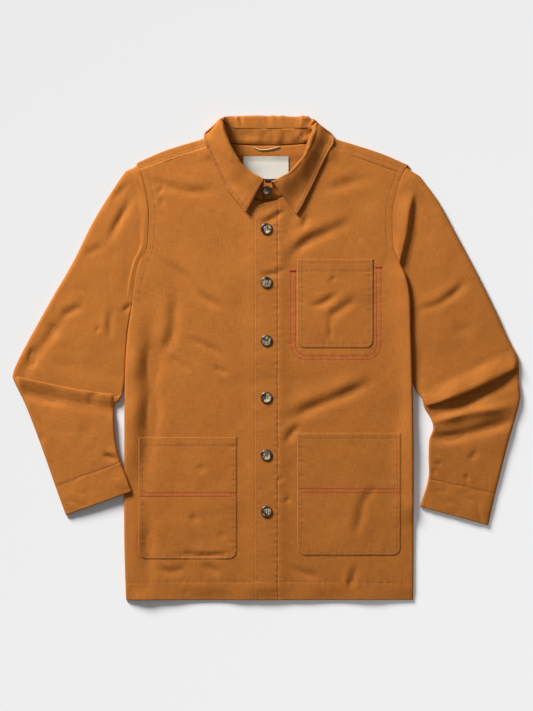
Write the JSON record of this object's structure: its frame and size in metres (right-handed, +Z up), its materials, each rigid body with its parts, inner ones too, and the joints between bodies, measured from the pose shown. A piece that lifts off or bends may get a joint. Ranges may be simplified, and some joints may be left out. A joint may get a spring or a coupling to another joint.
{
  "type": "overshirt",
  "caption": "Buttoned cotton duck overshirt laid out flat on its back, with a turned-down collar, bent sleeves, cuffs and patch pockets.",
  "frame": {"origin": "middle of the bounding box's underside, on the surface that the shirt lies on", "axes": "+X to the wearer's left, +Y from the hem to the collar, +Z up from the surface, out of the shirt's front"},
  "size_m": [0.8369, 0.7978, 0.0255],
  "materials": {
    "cotton_duck": "matt plain weave, washed",
    "label_cloth": "matt woven ribbon",
    "tab_cloth": "matt woven ribbon",
    "loop_cord": "matt twisted cord",
    "horn": "polished, marbled"
  },
  "bodies": {
    "root": {"back": "cotton_duck", "yoke": "cotton_duck", "right_front": "cotton_duck", "left_front": "cotton_duck", "placket": "cotton_duck", "right_sleeve": "cotton_duck", "left_sleeve": "cotton_duck", "right_cuff": "cotton_duck", "left_cuff": "cotton_duck", "collar_stand": "cotton_duck", "collar_leaf": "cotton_duck", "chest_pocket": "cotton_duck", "left_pocket": "cotton_duck", "right_pocket": "cotton_duck", "neck_label": "label_cloth", "size_tab": "tab_cloth", "hang_loop": "loop_cord", "button_1": "horn", "button_2": "horn", "button_3": "horn", "button_4": "horn", "button_5": "horn", "button_6": "horn", "collar_button": "horn"}
  },
  "joints": []
}
